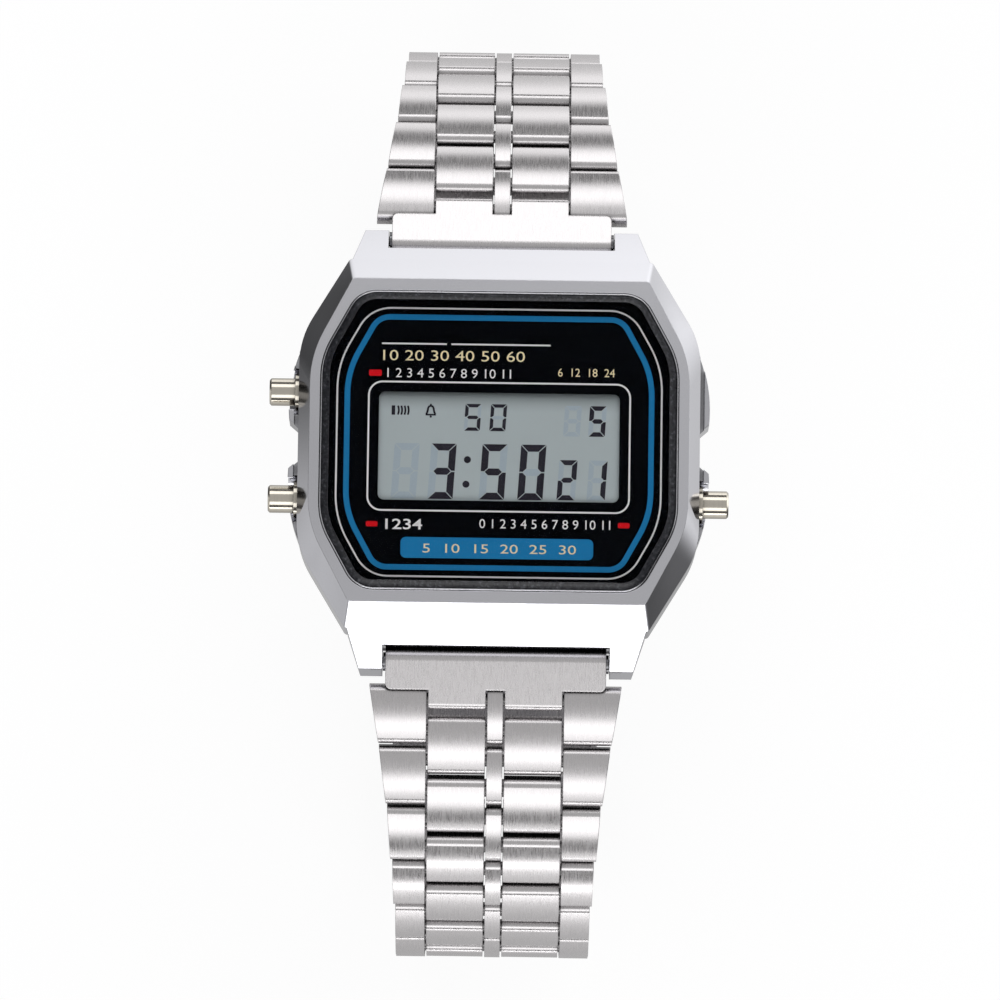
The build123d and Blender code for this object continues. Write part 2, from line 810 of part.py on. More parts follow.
def clasp_cover():
    """The folded cover: floor, side walls, adjusting holes and the fold's pin."""
    low, high = end_6 - cover_end, fold_y + fold_eye / 2 + seat_gap
    half = cover_width / 2
    inner = half - cover_wall
    section = Pos(0, (cover_height + overrun) / 2) * Rectangle(cover_width, cover_height + overrun)
    section = fillet(section.vertices().group_by(Axis.Y)[0], cover_corner)
    body = extrude(Plane.XZ.offset(-high - overrun) * section, high - low + 2 * overrun)
    side = Pos((low + high) / 2, (cover_height - overrun) / 2) * Rectangle(
        high - low, cover_height + overrun)
    side = fillet(side.vertices().group_by(Axis.Y)[-1], cover_corner)
    body &= across(side, -half - overrun, half + overrun)
    body -= box(-inner, inner, low - overrun, high + overrun, cover_floor, cover_height + overrun)
    body -= box(-inner, inner, low - overrun, turn_y - floor_start, -overrun, cover_height)
    body -= box(-inner, inner, fold_y - floor_end, high + overrun, -overrun, cover_height)
    for step in range(hole_count):
        body -= rod(eye_radius, -half - overrun, half + overrun,
                    end_6 + step * hole_spacing, pin_height)
    body -= rod(fold_pin / 2, -half - overrun, half + overrun, fold_y, fold_z)
    return [body, rod(fold_pin / 2, -half, half, fold_y, fold_z)]


def clasp_outer_blade():
    """The lower blade: an eye on the cover's pin, and a knuckle with the turning pin."""
    half = middle_outer - side_gap
    body = box(-half, half, turn_y + turn_plate_gap, fold_y, outer_low,
               outer_low + blade_thickness)
    body += box(-turn_knuckle / 2, turn_knuckle / 2, turn_y, turn_y + turn_plate_gap,
                outer_low, outer_low + blade_thickness)
    body += rod(turn_eye / 2, -turn_knuckle / 2, turn_knuckle / 2, turn_y, turn_z)
    body += rod(fold_eye / 2, -half, half, fold_y, fold_z)
    body -= rod(fold_pin / 2 + pin_gap, -half, half, fold_y, fold_z)
    body -= rod(turn_pin / 2, -half, half, turn_y, turn_z)
    return [body, rod(turn_pin / 2, -half, half, turn_y, turn_z)]


def clasp_inner_blade():
    """The upper blade: knuckles on the turning pin, and two eyes on the strap's last pin."""
    half = middle_outer - side_gap
    low, high = inner_low, inner_low + blade_thickness
    body = box(-half, half, turn_y + turn_plate_gap, end_12 - tongue_start, low, high)
    for side in (-1, 1):
        inner, outer = sorted((side * (middle_inner + side_gap), side * half))
        body += box(inner, outer, end_12 - tongue_start, end_12, low, high)
        body += rod(strap_eye / 2, inner, outer, end_12, pin_height)
        knuckle = turn_knuckle / 2 + side_gap
        inner, outer = sorted((side * knuckle, side * half))
        body += box(inner, outer, turn_y, turn_y + turn_plate_gap, low, high)
        body += rod(turn_eye / 2, inner, outer, turn_y, turn_z)
    body -= rod(eye_radius, -half, half, end_12, pin_height)
    body -= rod(turn_pin / 2 + pin_gap, -half, half, turn_y, turn_z)
    return body


def as_list(shape):
    """One shape or several, as a list of solids."""
    return [s for part in (shape if isinstance(shape, list) else [shape]) for s in part.solids()]


def build():
    """Every node by name, and every pivot by the name of what turns there."""
    case_nodes = {
        "case_body": case_body(), "case_back": case_back(), "back_screws": back_screws(),
        "back_gasket": back_gasket(), "crystal": crystal(), "crystal_gasket": crystal_gasket(),
        "dial_plate": dial_plate(), "lcd_panel": lcd_panel(), "lcd_reflector": lcd_reflector(),
        "connector_strips": connector_strips(), "module_frame": module_frame(),
        "circuit_board": circuit_board(), "battery_holder": battery_holder(),
        "battery": battery(), "battery_clip": battery_clip(), "contact_blades": contact_blades(),
        "chip": post(chip_diameter / 2, board_top, board_top + chip_height, chip_x, -window_drop),
        "quartz_can": quartz_can(), "lamp": lamp(), "buzzer_spring": buzzer_spring(),
        "buzzer": post(buzzer_diameter / 2, back_thickness, back_thickness + buzzer_thickness,
                       buzzer_x, buzzer_y),
        "pusher_bushes": pusher_bushes(), "lug_spring_bars": lug_spring_bars(),
    }
    parts = pusher_parts()
    springs = at_pushers(pusher_spring())
    for index, (name, side, end) in enumerate(pushers):
        case_nodes[name + "_pusher"] = [piece[index] for piece in parts]
        case_nodes[name + "_spring"] = springs[index]
    raise_case = Pos(0, 0, case_base)
    nodes = {name: [raise_case * s for s in as_list(shape)] for name, shape in case_nodes.items()}
    pivots = {}
    for half in (strap(1, "12", end_degrees_12, row_degrees_12, walk_12),
                 strap(-1, "6", end_degrees_6, closed_degrees_6, walk_6)):
        nodes.update({name: as_list(solids) for name, solids in half[0].items()})
        pivots.update(half[1])
    nodes["clasp_cover"] = as_list(clasp_cover())
    nodes["clasp_outer_blade"] = as_list(clasp_outer_blade())
    nodes["clasp_inner_blade"] = as_list(clasp_inner_blade())
    pivots["clasp_inner_blade"] = Vector(0, end_12, pin_height)
    pivots["clasp_outer_blade"] = Vector(0, turn_y, turn_z)
    pivots["clasp_cover"] = Vector(0, fold_y, fold_z)
    pivots["open_pivot"] = Vector(0, end_6, pin_height)
    return nodes, pivots


def main():
    """Centre the watch over the origin, write its parts and print its pivots."""
    os.makedirs("parts", exist_ok=True)
    nodes, pivots = build()
    whole = Compound(children=[solid for solids in nodes.values() for solid in solids])
    bounds = whole.bounding_box()
    shift = Pos(0, -(bounds.min.Y + bounds.max.Y) / 2, 0)
    whole.children = []
    for name, solids in nodes.items():
        moved = [shift * solid for solid in solids]
        export_step(moved[0] if len(moved) == 1 else Compound(children=moved),
                    os.path.join("parts", name + ".step"))
    middle = shift.position.Y
    for name, place in pivots.items():
        print("pivot", name, round(place.Y + middle, 5), round(place.Z, 5))
    print("case", round(middle, 5), round(case_base, 5))
    print("size", bounds.size)


main()
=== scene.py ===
import math

import bpy
import numpy as np
from mathutils import Matrix, Vector


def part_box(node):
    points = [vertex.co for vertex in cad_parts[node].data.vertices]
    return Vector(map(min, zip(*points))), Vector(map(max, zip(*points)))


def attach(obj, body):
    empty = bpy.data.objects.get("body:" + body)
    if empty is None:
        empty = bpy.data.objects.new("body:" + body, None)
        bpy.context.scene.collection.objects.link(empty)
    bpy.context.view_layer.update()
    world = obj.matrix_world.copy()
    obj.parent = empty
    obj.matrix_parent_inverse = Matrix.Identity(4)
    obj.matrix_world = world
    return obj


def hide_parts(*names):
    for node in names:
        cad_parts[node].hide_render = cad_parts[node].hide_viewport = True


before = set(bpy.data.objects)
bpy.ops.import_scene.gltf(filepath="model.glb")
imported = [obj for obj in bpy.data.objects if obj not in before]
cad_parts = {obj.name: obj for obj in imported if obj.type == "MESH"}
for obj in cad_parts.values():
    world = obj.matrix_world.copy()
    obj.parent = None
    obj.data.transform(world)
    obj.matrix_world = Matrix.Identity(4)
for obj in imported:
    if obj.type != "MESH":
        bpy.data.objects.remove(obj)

bl_info = {
    "name": "Digital watch on a steel bracelet",
    "version": (1, 0, 0),
    "blender": (4, 5, 0),
    "location": "View3D > Sidebar > Watch",
    "description": "Dresses the watch's construction with its surfaces, printing and display",
    "category": "Object",
}

# Millimetres and micrometres in Blender's metres
MM = 0.001
UM = 0.000001

# Places read from the construction. The case's own point lies under the crystal's middle, level
# with the underside of the case back
CRYSTAL_LOW, CRYSTAL_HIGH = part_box("crystal")
LCD_LOW, LCD_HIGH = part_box("lcd_panel")
CASE_Y = (CRYSTAL_LOW.y + CRYSTAL_HIGH.y) / 2
CASE_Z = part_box("case_back")[0].z
CASE_POINT = (0.0, CASE_Y, CASE_Z)
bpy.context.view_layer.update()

# Heights in the case's own millimetres, the display's middle in Y, and the height above which
# a flat face of the case belongs to its satin plate
CRYSTAL_BASE = (CRYSTAL_LOW.z - CASE_Z) / MM
CRYSTAL_TOP = (CRYSTAL_HIGH.z - CASE_Z) / MM
LCD_TOP = (LCD_HIGH.z - CASE_Z) / MM
LCD_MIDDLE = ((LCD_LOW.y + LCD_HIGH.y) / 2 - CASE_Y) / MM
SATIN_HEIGHT = 7.5

# The ends between which most of a noise's values lie, and the samples for softened edges and
# for the painted shade in gaps
NOISE_ENDS = (0.3, 0.7)
SOFT_SAMPLES = 6

# The room at each end of a display segment in millimetres, and the share of the font's size
# that a digit's height takes
SEGMENT_GAP = 0.045
DIGIT_SHARE = 0.72


def linear(code):
    """The linear colour of an sRGB hex value."""
    values = np.array([int(code[i:i + 2], 16) for i in (1, 3, 5)]) / 255
    curve = np.where(values <= 0.04045, values / 12.92, ((values + 0.055) / 1.055) ** 2.4)
    return tuple(float(v) for v in curve)


def length_property(name, description, value_mm):
    """A size that a user may change, given in millimetres."""
    return bpy.props.FloatProperty(name=name, description=description, default=value_mm * MM,
                                   min=0.0, unit="LENGTH", precision=5)


def colour_property(name, description, code):
    """A colour that a user may change, given as an sRGB hex value."""
    return bpy.props.FloatVectorProperty(name=name, description=description, subtype="COLOR",
                                         size=3, min=0.0, max=1.0, default=linear(code))


class WatchSizes(bpy.types.PropertyGroup):
    """Sizes of what is printed, shown and finished on the watch."""

    case_edge: length_property("Case edge", "Softness of the case's edges", 0.08)
    link_edge: length_property("Link edge", "Softness of the bracelet's edges", 0.1)
    small_edge: length_property("Small edge", "Softness of screws, pins and clasp", 0.05)
    line_width: length_property("Line width", "Width of the white printed lines", 0.14)
    band_width: length_property("Band width", "Width of the blue printed band", 0.44)
    ink: length_property("Ink", "Thickness of the printing", 0.012)
    display_slant: bpy.props.FloatProperty(
        name="Display slant", description="How far the display's digits lean to the right",
        default=math.radians(3.5), subtype="ANGLE")


class WatchColours(bpy.types.PropertyGroup):
    """Colours of the watch's surfaces."""

    steel: colour_property("Steel", "Polished and satin steel of the case", "#cfcfd4")
    bracelet: colour_property("Bracelet", "Brushed steel of the bracelet", "#d4d1d2")
    pusher: colour_property("Pusher", "Turned steel of the pushers", "#d2ccc0")
    dial: colour_property("Dial", "Black lacquer behind the crystal", "#03050b")
    white_ink: colour_property("White ink", "Printed white lines and numbers", "#fcfcfd")
    blue_ink: colour_property("Blue ink", "Printed blue band and box", "#1a86c4")
    red_ink: colour_property("Red ink", "Printed marks beside the pushers", "#ee0a1c")
    cream_ink: colour_property("Cream ink", "Printed cream numbers", "#fff0c4")
    display: colour_property("Display", "Ground of the liquid-crystal display", "#c4cfd2")
    segment: colour_property("Segment", "Dark segments of the display", "#2e2b36")
    ghost: colour_property("Ghost", "Segments that are switched off", "#b7c6d0")


def add_node(tree, kind, settings=None, inputs=None):
    """Adds a node, sets its own settings and sets or links its inputs."""
    node = tree.nodes.new(kind)
    for name, value in (settings or {}).items():
        setattr(node, name, value)
    for name, value in (inputs or {}).items():
        if isinstance(value, bpy.types.NodeSocket):
            tree.links.new(value, node.inputs[name])
        else:
            node.inputs[name].default_value = value
    return node


def between(*ends):
    """A map range's four ends as its inputs: the two that it reads, then the two it gives."""
    return dict(zip(("From Min", "From Max", "To Min", "To Max"), ends))


def new_material(name):
    """An empty node material with a Principled shader on its output."""
    material = bpy.data.materials.new(name)
    material.use_nodes = True
    tree = material.node_tree
    tree.nodes.clear()
    shader = add_node(tree, "ShaderNodeBsdfPrincipled")
    add_node(tree, "ShaderNodeOutputMaterial", inputs={"Surface": shader.outputs["BSDF"]})
    return material, tree, shader


def grain(tree, stretch, detail=4.0, roughness=0.6):
    """Noise on Object coordinates, with a number of features per metre along each axis."""
    place = add_node(tree, "ShaderNodeTexCoord")
    mapping = add_node(tree, "ShaderNodeMapping", inputs={
        "Vector": place.outputs["Object"], "Scale": stretch})
    noise = add_node(tree, "ShaderNodeTexNoise", inputs={
        "Vector": mapping.outputs["Vector"], "Scale": 1.0, "Detail": detail,
        "Roughness": roughness})
    return noise.outputs["Fac"]


def mottled(tree, value, first, second, ends=NOISE_ENDS):
    """A colour that goes from one to another while a pattern goes between its ends."""
    share = add_node(tree, "ShaderNodeMapRange", inputs={
        "Value": value, **between(*ends, 0.0, 1.0)})
    mix = add_node(tree, "ShaderNodeMix", {"data_type": "RGBA"}, {
        "Factor": share.outputs["Result"], "A": (*first, 1.0), "B": (*second, 1.0)})
    return mix.outputs["Result"]


def textured(tree, shader, value, rough, depth, base=None):
    """Spreads the roughness between two limits by a pattern, and raises the surface by it.

    The depth is in metres. The relief lies over the base normal, where one is given.
    """
    spread = add_node(tree, "ShaderNodeMapRange", inputs={
        "Value": value, **between(*NOISE_ENDS, *rough)})
    tree.links.new(spread.outputs["Result"], shader.inputs["Roughness"])
    bump = add_node(tree, "ShaderNodeBump", inputs={"Height": value, "Distance": depth})
    if base is not None:
        tree.links.new(base, bump.inputs["Normal"])
    tree.links.new(bump.outputs["Normal"], shader.inputs["Normal"])


def shade(colour, factor):
    """A colour made lighter or darker."""
    return tuple(min(1.0, c * factor) for c in colour)


def crowned(tree, normal, bend):
    """A normal that leans outwards from the case's middle, as on a face buffed to a crown.

    The height is -bend / 2 * (0.2 * x * x + y * y) in metres, so that the lean grows by bend a
    metre along Y and by a fifth of it along X.
    """
    x_share = 0.45
    place = add_node(tree, "ShaderNodeTexCoord")
    flat = add_node(tree, "ShaderNodeMapping", inputs={
        "Vector": place.outputs["Object"], "Location": (0, -CASE_Y, 0),
        "Scale": (x_share, 1, 0)})
    square = add_node(tree, "ShaderNodeVectorMath", {"operation": "DOT_PRODUCT"}, {
        0: flat.outputs["Vector"], 1: flat.outputs["Vector"]})
    height = add_node(tree, "ShaderNodeMath", {"operation": "MULTIPLY"}, {
        0: square.outputs["Value"], 1: -bend / 2})
    return add_node(tree, "ShaderNodeBump", inputs={
        "Height": height.outputs["Value"], "Distance": 1.0,
        "Normal": normal}).outputs["Normal"]


def painted_gap_shade(tree, unshaded, dark):
    """Painted shade: a colour darkened in gaps narrower than about 0.7 mm, where shadow falls.
    """
    gap = add_node(tree, "ShaderNodeAmbientOcclusion", {"samples": SOFT_SAMPLES}, {
        "Distance": 0.7 * MM})
    open_share = add_node(tree, "ShaderNodeMapRange", inputs={
        "Value": gap.outputs["AO"], **between(0.15, 0.85, 0.0, 1.0)})
    mix = add_node(tree, "ShaderNodeMix", {"data_type": "RGBA"}, {
        "Factor": open_share.outputs["Result"], "A": (*dark, 1.0), "B": unshaded})
    return mix.outputs["Result"]


def metal(name, colour, stretch, rough, depth, streak, edge=0.0, bend=0.0):
    """Solid metal: a stretched noise in its colour, roughness and relief, and painted gap shade.

    The streak is the share of the colour that the noise adds and takes. The edge is the radius
    of softened edges in metres, and the bend is how much a crown leans per metre.
    """
    material, tree, shader = new_material(name)
    value = grain(tree, stretch)
    unshaded = mottled(tree, value, shade(colour, 1 - streak), shade(colour, 1 + streak))
    # Painted shade: in gaps narrower than about 0.7 mm the colour falls to a fifth of itself
    dark = shade(colour, 0.2)
    tree.links.new(painted_gap_shade(tree, unshaded, dark), shader.inputs["Base Color"])
    soft = add_node(tree, "ShaderNodeBevel", {"samples": SOFT_SAMPLES}, {"Radius": edge})
    base = soft.outputs["Normal"]
    if bend > 0:
        base = crowned(tree, base, bend)
    textured(tree, shader, value, rough, depth, base)
    shader.inputs["Metallic"].default_value = 1.0
    return material


def polished_steel(colours, sizes):
    """Buffed stainless steel: a mirror with hairlines about 0.1 mm apart."""
    return metal("polished_stainless_steel", colours.steel, (9000, 9000, 9000), (0.07, 0.13),
                 0.3 * UM, 0.02, sizes.case_edge, 2.5)


def satin_steel(colours, sizes):
    """Stainless steel blasted to a fine satin, its grain about 0.06 mm wide."""
    return metal("satin_stainless_steel", shade(colours.steel, 1.1), (16000, 9000, 16000),
                 (0.18, 0.26), 0.6 * UM, 0.03, sizes.case_edge, 9.0)


def brushed_steel(colours, edge):
    """Steel brushed along the strap: lines 0.06 mm apart in X, long in Y and Z."""
    return metal("brushed_stainless_steel", colours.bracelet, (16000, 1000, 1000),
                 (0.23, 0.33), 1.1 * UM, 0.05, edge)


def turned_steel(colours, sizes):
    """Turned and polished steel, with a warm cast and rings round X about 0.07 mm apart."""
    return metal("turned_polished_steel", colours.pusher, (14000, 500, 500), (0.1, 0.18),
                 0.6 * UM, 0.04, sizes.small_edge)


def spring_steel(colours, sizes):
    """Drawn spring wire and small turned parts, with a grain about 0.2 mm long."""
    return metal("drawn_spring_steel", shade(colours.steel, 0.9), (5000, 5000, 5000),
                 (0.2, 0.3), 1.0 * UM, 0.05, sizes.small_edge)


def back_steel(colours, sizes):
    """Steel brushed across the case: lines long in X and 0.1 mm apart."""
    return metal("cross_brushed_steel", colours.steel, (350, 9000, 9000), (0.24, 0.36),
                 2.0 * UM, 0.08, sizes.small_edge)


def plated_brass():
    """Gold-flashed brass of contacts, buzzer disc and coil: a grain about 0.3 mm long."""
    return metal("gold_flashed_brass", linear("#c9a24e"), (3000, 3000, 3000), (0.23, 0.33),
                 0.8 * UM, 0.06)


def reflector_foil():
    """Matt aluminium foil behind the display: a grain about 0.2 mm long."""
    return metal("matt_aluminium_foil", linear("#c2c8c8"), (5000, 5000, 5000), (0.4, 0.5),
                 1.0 * UM, 0.04)


def moulded(name, colour, rough, per_metre, depth, specular=0.5):
    """An even solid such as plastic, lacquer, rubber or ink, with a fine grain."""
    spread, tone = 0.03, 0.04
    material, tree, shader = new_material(name)
    value = grain(tree, (per_metre, per_metre, per_metre))
    tree.links.new(mottled(tree, value, shade(colour, 1 - tone), shade(colour, 1 + tone)),
                   shader.inputs["Base Color"])
    textured(tree, shader, value, (rough - spread, rough + spread), depth)
    shader.inputs["Specular IOR Level"].default_value = specular
    return material


def dial_lacquer(colours):
    """Black screen-printed lacquer, nearly without gloss behind the crystal."""
    return moulded("black_printed_lacquer", colours.dial, 0.5, 4000, 0.5 * UM, 0.02)


def silicone_rubber():
    """Black silicone of gaskets and connector strips."""
    return moulded("silicone_rubber", linear("#17181a"), 0.7, 3000, 2 * UM, 0.3)


def module_plastic():
    """Moulded black glass-filled nylon of the module's frames."""
    return moulded("moulded_black_nylon", linear("#1d1d20"), 0.55, 5000, 2 * UM)


def board_laminate():
    """Green glass-fibre laminate under solder resist."""
    return moulded("green_glass_fibre_laminate", linear("#1c5a33"), 0.4, 6000, 1 * UM)


def chip_resin():
    """Glossy black resin over the chip."""
    return moulded("black_epoxy_resin", linear("#0d0d0f"), 0.15, 1500, 4 * UM)


def lamp_glass():
    """The lamp's milky glass bead."""
    return moulded("milky_lamp_glass", linear("#e6e2cf"), 0.12, 2000, 1 * UM)


def ink(name, colour):
    """Screen-printed ink: matt, with the fine mottle of the mesh, 0.1 mm."""
    return moulded(name, colour, 0.55, 10000, 0.5 * UM, 0.15)


def display_film(colours):
    """The display's frosted polarising film: grey-green, darker under the window's far edge."""
    material, tree, shader = new_material("frosted_polarising_film")
    # Where the shadow starts and is full, how it grows between them, and how dark it gets
    start, full = CASE_Y + 2.46 * MM, CASE_Y + 4.16 * MM
    growth, darkest = 1.6, 0.25
    place = add_node(tree, "ShaderNodeTexCoord")
    parts = add_node(tree, "ShaderNodeSeparateXYZ", inputs={"Vector": place.outputs["Object"]})
    near = add_node(tree, "ShaderNodeMapRange", inputs={
        "Value": parts.outputs["Y"], **between(start, full, 0.0, 1.0)})
    curve = add_node(tree, "ShaderNodeMath", {"operation": "POWER"}, {
        0: near.outputs["Result"], 1: growth})
    tree.links.new(mottled(tree, curve.outputs["Value"], colours.display,
                           shade(colours.display, darkest), (0.0, 1.0)),
                   shader.inputs["Base Color"])
    textured(tree, shader, grain(tree, (8000, 8000, 8000)), (0.57, 0.63), 0.4 * UM)
    shader.inputs["Specular IOR Level"].default_value = 0.1
    return material


def mineral_glass():
    """Flat polished mineral glass. Its low IOR and specular level stand for a coated face."""
    material, tree, shader = new_material("polished_mineral_glass")
    spread = add_node(tree, "ShaderNodeMapRange", inputs={
        "Value": grain(tree, (300, 300, 300)), **between(*NOISE_ENDS, 0.0, 0.02)})
    tree.links.new(spread.outputs["Result"], shader.inputs["Roughness"])
    for name, value in (("Base Color", (1.0, 1.0, 1.0, 1.0)), ("Transmission Weight", 1.0),
                        ("IOR", 1.06), ("Specular IOR Level", 0.25)):
        shader.inputs[name].default_value = value
    return material


def ground_glass():
    """The crystal's ground rim: dark, with scuffs from grinding about 0.3 mm long."""
    material, tree, shader = new_material("ground_dark_glass_rim")
    value = grain(tree, (3500, 3500, 3500), 6.0, 0.75)
    tree.links.new(mottled(tree, value, linear("#26272c"), linear("#76777e"), (0.52, 0.75)),
                   shader.inputs["Base Color"])
    textured(tree, shader, value, (0.2, 0.5), 3 * UM)
    return material


def rounded_outline(corners, radii, steps=10):
    """An outline through corners with round arcs, and its outward normals.

    At each corner the arc's centre lies inside by the radius along both edge normals. The arc
    is centre + radius * (cos a, sin a), with a going evenly from one edge's normal to the next.
    """
    corners = np.asarray(corners, float)
    points, normals = [], []
    for i, radius in enumerate(radii):
        before = corners[i] - corners[i - 1]
        after = corners[(i + 1) % len(corners)] - corners[i]
        before, after = before / np.linalg.norm(before), after / np.linalg.norm(after)
        first = math.atan2(-before[0], before[1])
        turn = (math.atan2(-after[0], after[1]) - first) % (2 * math.pi)
        back = radius * math.tan(turn / 2)
        start = corners[i] - before * back
        centre = start - radius * np.array([math.cos(first), math.sin(first)])
        angle = first + turn * np.linspace(0, 1, steps)
        normal = np.stack([np.cos(angle), np.sin(angle)], axis=1)
        points.append(centre + radius * normal)
        normals.append(normal)
    return np.concatenate(points), np.concatenate(normals)


def octagon(half_x, half_y, top_x, side_y, end_radius, side_radius):
    """The face's outline in millimetres: a rectangle with long chamfers, anticlockwise."""
    corners = [(half_x, side_y), (top_x, half_y), (-top_x, half_y), (-half_x, side_y),
               (-half_x, -side_y), (-top_x, -half_y), (top_x, -half_y), (half_x, -side_y)]
    return rounded_outline(corners, [side_radius, end_radius, end_radius, side_radius] * 2)


def rectangle(half_x, half_y, radius, middle=(0.0, 0.0)):
    """A rounded rectangle's outline in millimetres, anticlockwise."""
    corners = np.array([(half_x, half_y), (-half_x, half_y), (-half_x, -half_y),
                        (half_x, -half_y)]) + middle
    return rounded_outline(corners, [radius] * 4)


def grid_faces(rings, points, closed_rings=False):
    """Quads between neighbouring rings of equally many points, each ring closed."""
    count = rings if closed_rings else rings - 1
    ring, point = np.meshgrid(np.arange(count), np.arange(points), indexing="ij")
    next_ring, next_point = (ring + 1) % rings, (point + 1) % points
    quads = np.stack([ring * points + point, ring * points + next_point,
                      next_ring * points + next_point, next_ring * points + point], axis=-1)
    return quads.reshape(-1, 4).tolist()


def ring_vertices(outline, profile, low):
    """Points of a profile carried round an outline.

    A profile point (out, up) becomes outline + out * normal at height low + up, in millimetres.
    """
    points, normals = outline
    out = np.array([p[0] for p in profile])[:, None, None]
    flat = points[None] + out * normals[None]
    up = np.repeat(np.array([p[1] for p in profile])[:, None], len(points), axis=1)
    return np.concatenate([flat, up[..., None] + low], axis=-1).reshape(-1, 3)


def solid_ring(outline, profile, low):
    """A closed band: a closed profile, anticlockwise from its inner foot, round an outline."""
    vertices = ring_vertices(outline, profile, low)
    return vertices, grid_faces(len(profile), len(outline[0]), closed_rings=True)


def solid_plate(outline, profile, low):
    """A capped solid: an open profile from the bottom's rim to the top's, round an outline."""
    vertices = ring_vertices(outline, profile, low)
    count = len(outline[0])
    faces = grid_faces(len(profile), count)
    faces.append(list(range(count))[::-1])
    faces.append(list(range((len(profile) - 1) * count, len(profile) * count)))
    return vertices, faces


def prism(corners, low, high):
    """A flat shape raised to a thickness: its outline at two heights, with two caps."""
    corners = np.asarray(corners, float)
    outline = (corners, np.zeros_like(corners))
    return solid_plate(outline, [(0, 0), (0, high - low)], low)


def joined(parts):
    """Several solids as one list of points and faces."""
    vertices, faces, start = [], [], 0
    for points, quads in parts:
        vertices.append(points)
        faces += [[start + i for i in face] for face in quads]
        start += len(points)
    return np.concatenate(vertices), faces


def add_piece(name, solid, material, body, smooth=0.6):
    """Makes a piece of the case from a solid given in the case's own millimetres."""
    vertices, faces = solid
    mesh = bpy.data.meshes.new(name)
    mesh.from_pydata((np.asarray(vertices) * MM + CASE_POINT).tolist(), [], faces)
    mesh.validate()
    mesh.shade_smooth()
    mesh.set_sharp_from_angle(angle=smooth)
    mesh.materials.append(material)
    piece = bpy.data.objects.new(name, mesh)
    bpy.context.scene.collection.objects.link(piece)
    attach(piece, body)
    return piece


def dress(node, materials, choose=None):
    """Gives a node of the construction its materials, face by face where a rule is given."""
    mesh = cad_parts[node].data
    mesh.materials.clear()
    for material in materials:
        mesh.materials.append(material)
    if choose is not None:
        mesh.polygons.foreach_set("material_index", choose(mesh).astype(np.int32))


def satin_faces(mesh):
    """The case's satin faces: the flat plate round the crystal, looking up."""
    middle = np.zeros(len(mesh.polygons) * 3, np.float32)
    normal = np.zeros(len(mesh.polygons) * 3, np.float32)
    mesh.polygons.foreach_get("center", middle)
    mesh.polygons.foreach_get("normal", normal)
    height = (middle.reshape(-1, 3) - CASE_POINT)[:, 2] / MM
    return (normal.reshape(-1, 3)[:, 2] > 0.99) & (height > SATIN_HEIGHT)


# Which of a digit's seven segments are lit. They run from a, the top one, clockwise to f, and g
# is the bar in the middle
LIT = {"0": "abcdef", "1": "bc", "2": "abged", "3": "abgcd", "4": "fgbc", "5": "afgcd",
       "6": "afgedc", "7": "abc", "8": "abcdefg", "9": "abcdfg", " ": ""}


def segment_corners(width, height, stroke, gap):
    """Corners of the seven mitred strokes of a digit that stands on its lower left corner."""
    half = height / 2
    s, g = stroke, gap
    top = np.array([(g, 0), (width - g, 0), (width - s - g, -s), (s + g, -s)])
    lower = np.array([(0, half - g), (0, g), (s, s + g), (s, half - s / 2 - g),
                      (s / 2, half - g)])
    bar = np.array([(s / 2 + g, 0), (s + g, s / 2), (width - s - g, s / 2),
                    (width - s / 2 - g, 0), (width - s - g, -s / 2), (s + g, -s / 2)])
    upper = lower * (1, -1) + (0, height)
    return {"a": top + (0, height), "d": top * (1, -1), "g": bar + (0, half),
            "e": lower, "f": upper, "c": lower * (-1, 1) + (width, 0),
            "b": upper * (-1, 1) + (width, 0)}


def anticlockwise(corners):
    """The same corners, turned round if they run clockwise."""
    x, y = corners[:, 0], corners[:, 1]
    area = np.sum(x * np.roll(y, -1) - np.roll(x, -1) * y)
    return corners if area > 0 else corners[::-1]


def digit_solids(shown, left, bottom, width, height, stroke, low, high, lit):
    """A digit's segments: the lit ones, or those that are switched off."""
    slant = math.tan(bpy.context.scene.watch_sizes.display_slant)
    solids = []
    for name, corners in segment_corners(width, height, stroke, SEGMENT_GAP).items():
        if (name in LIT[shown]) == lit:
            x = corners[:, 0] + corners[:, 1] * slant + left
            flat = np.stack([x, corners[:, 1] + bottom], axis=1)
            solids.append(prism(anticlockwise(flat), low, high))
    return solids


def circle(radius, middle, steps=24):
    """Corners of a round dot."""
    angle = np.linspace(0, 2 * math.pi, steps, endpoint=False)
    return np.stack([np.cos(angle), np.sin(angle)], axis=1) * radius + middle


def bar_corners(x0, x1, y0, y1):
    """Corners of an upright rectangle."""
    return np.array([(x0, y0), (x1, y0), (x1, y1), (x0, y1)])


def stroke_corners(points, width):
    """Corners of an even stroke along a bent line: both sides, half the width from it."""
    points = np.asarray(points, float)
    along = np.gradient(points, axis=0)
    along /= np.linalg.norm(along, axis=1)[:, None]
    side = np.stack([-along[:, 1], along[:, 0]], axis=1) * width / 2
    return anticlockwise(np.concatenate([points + side, (points - side)[::-1]]))


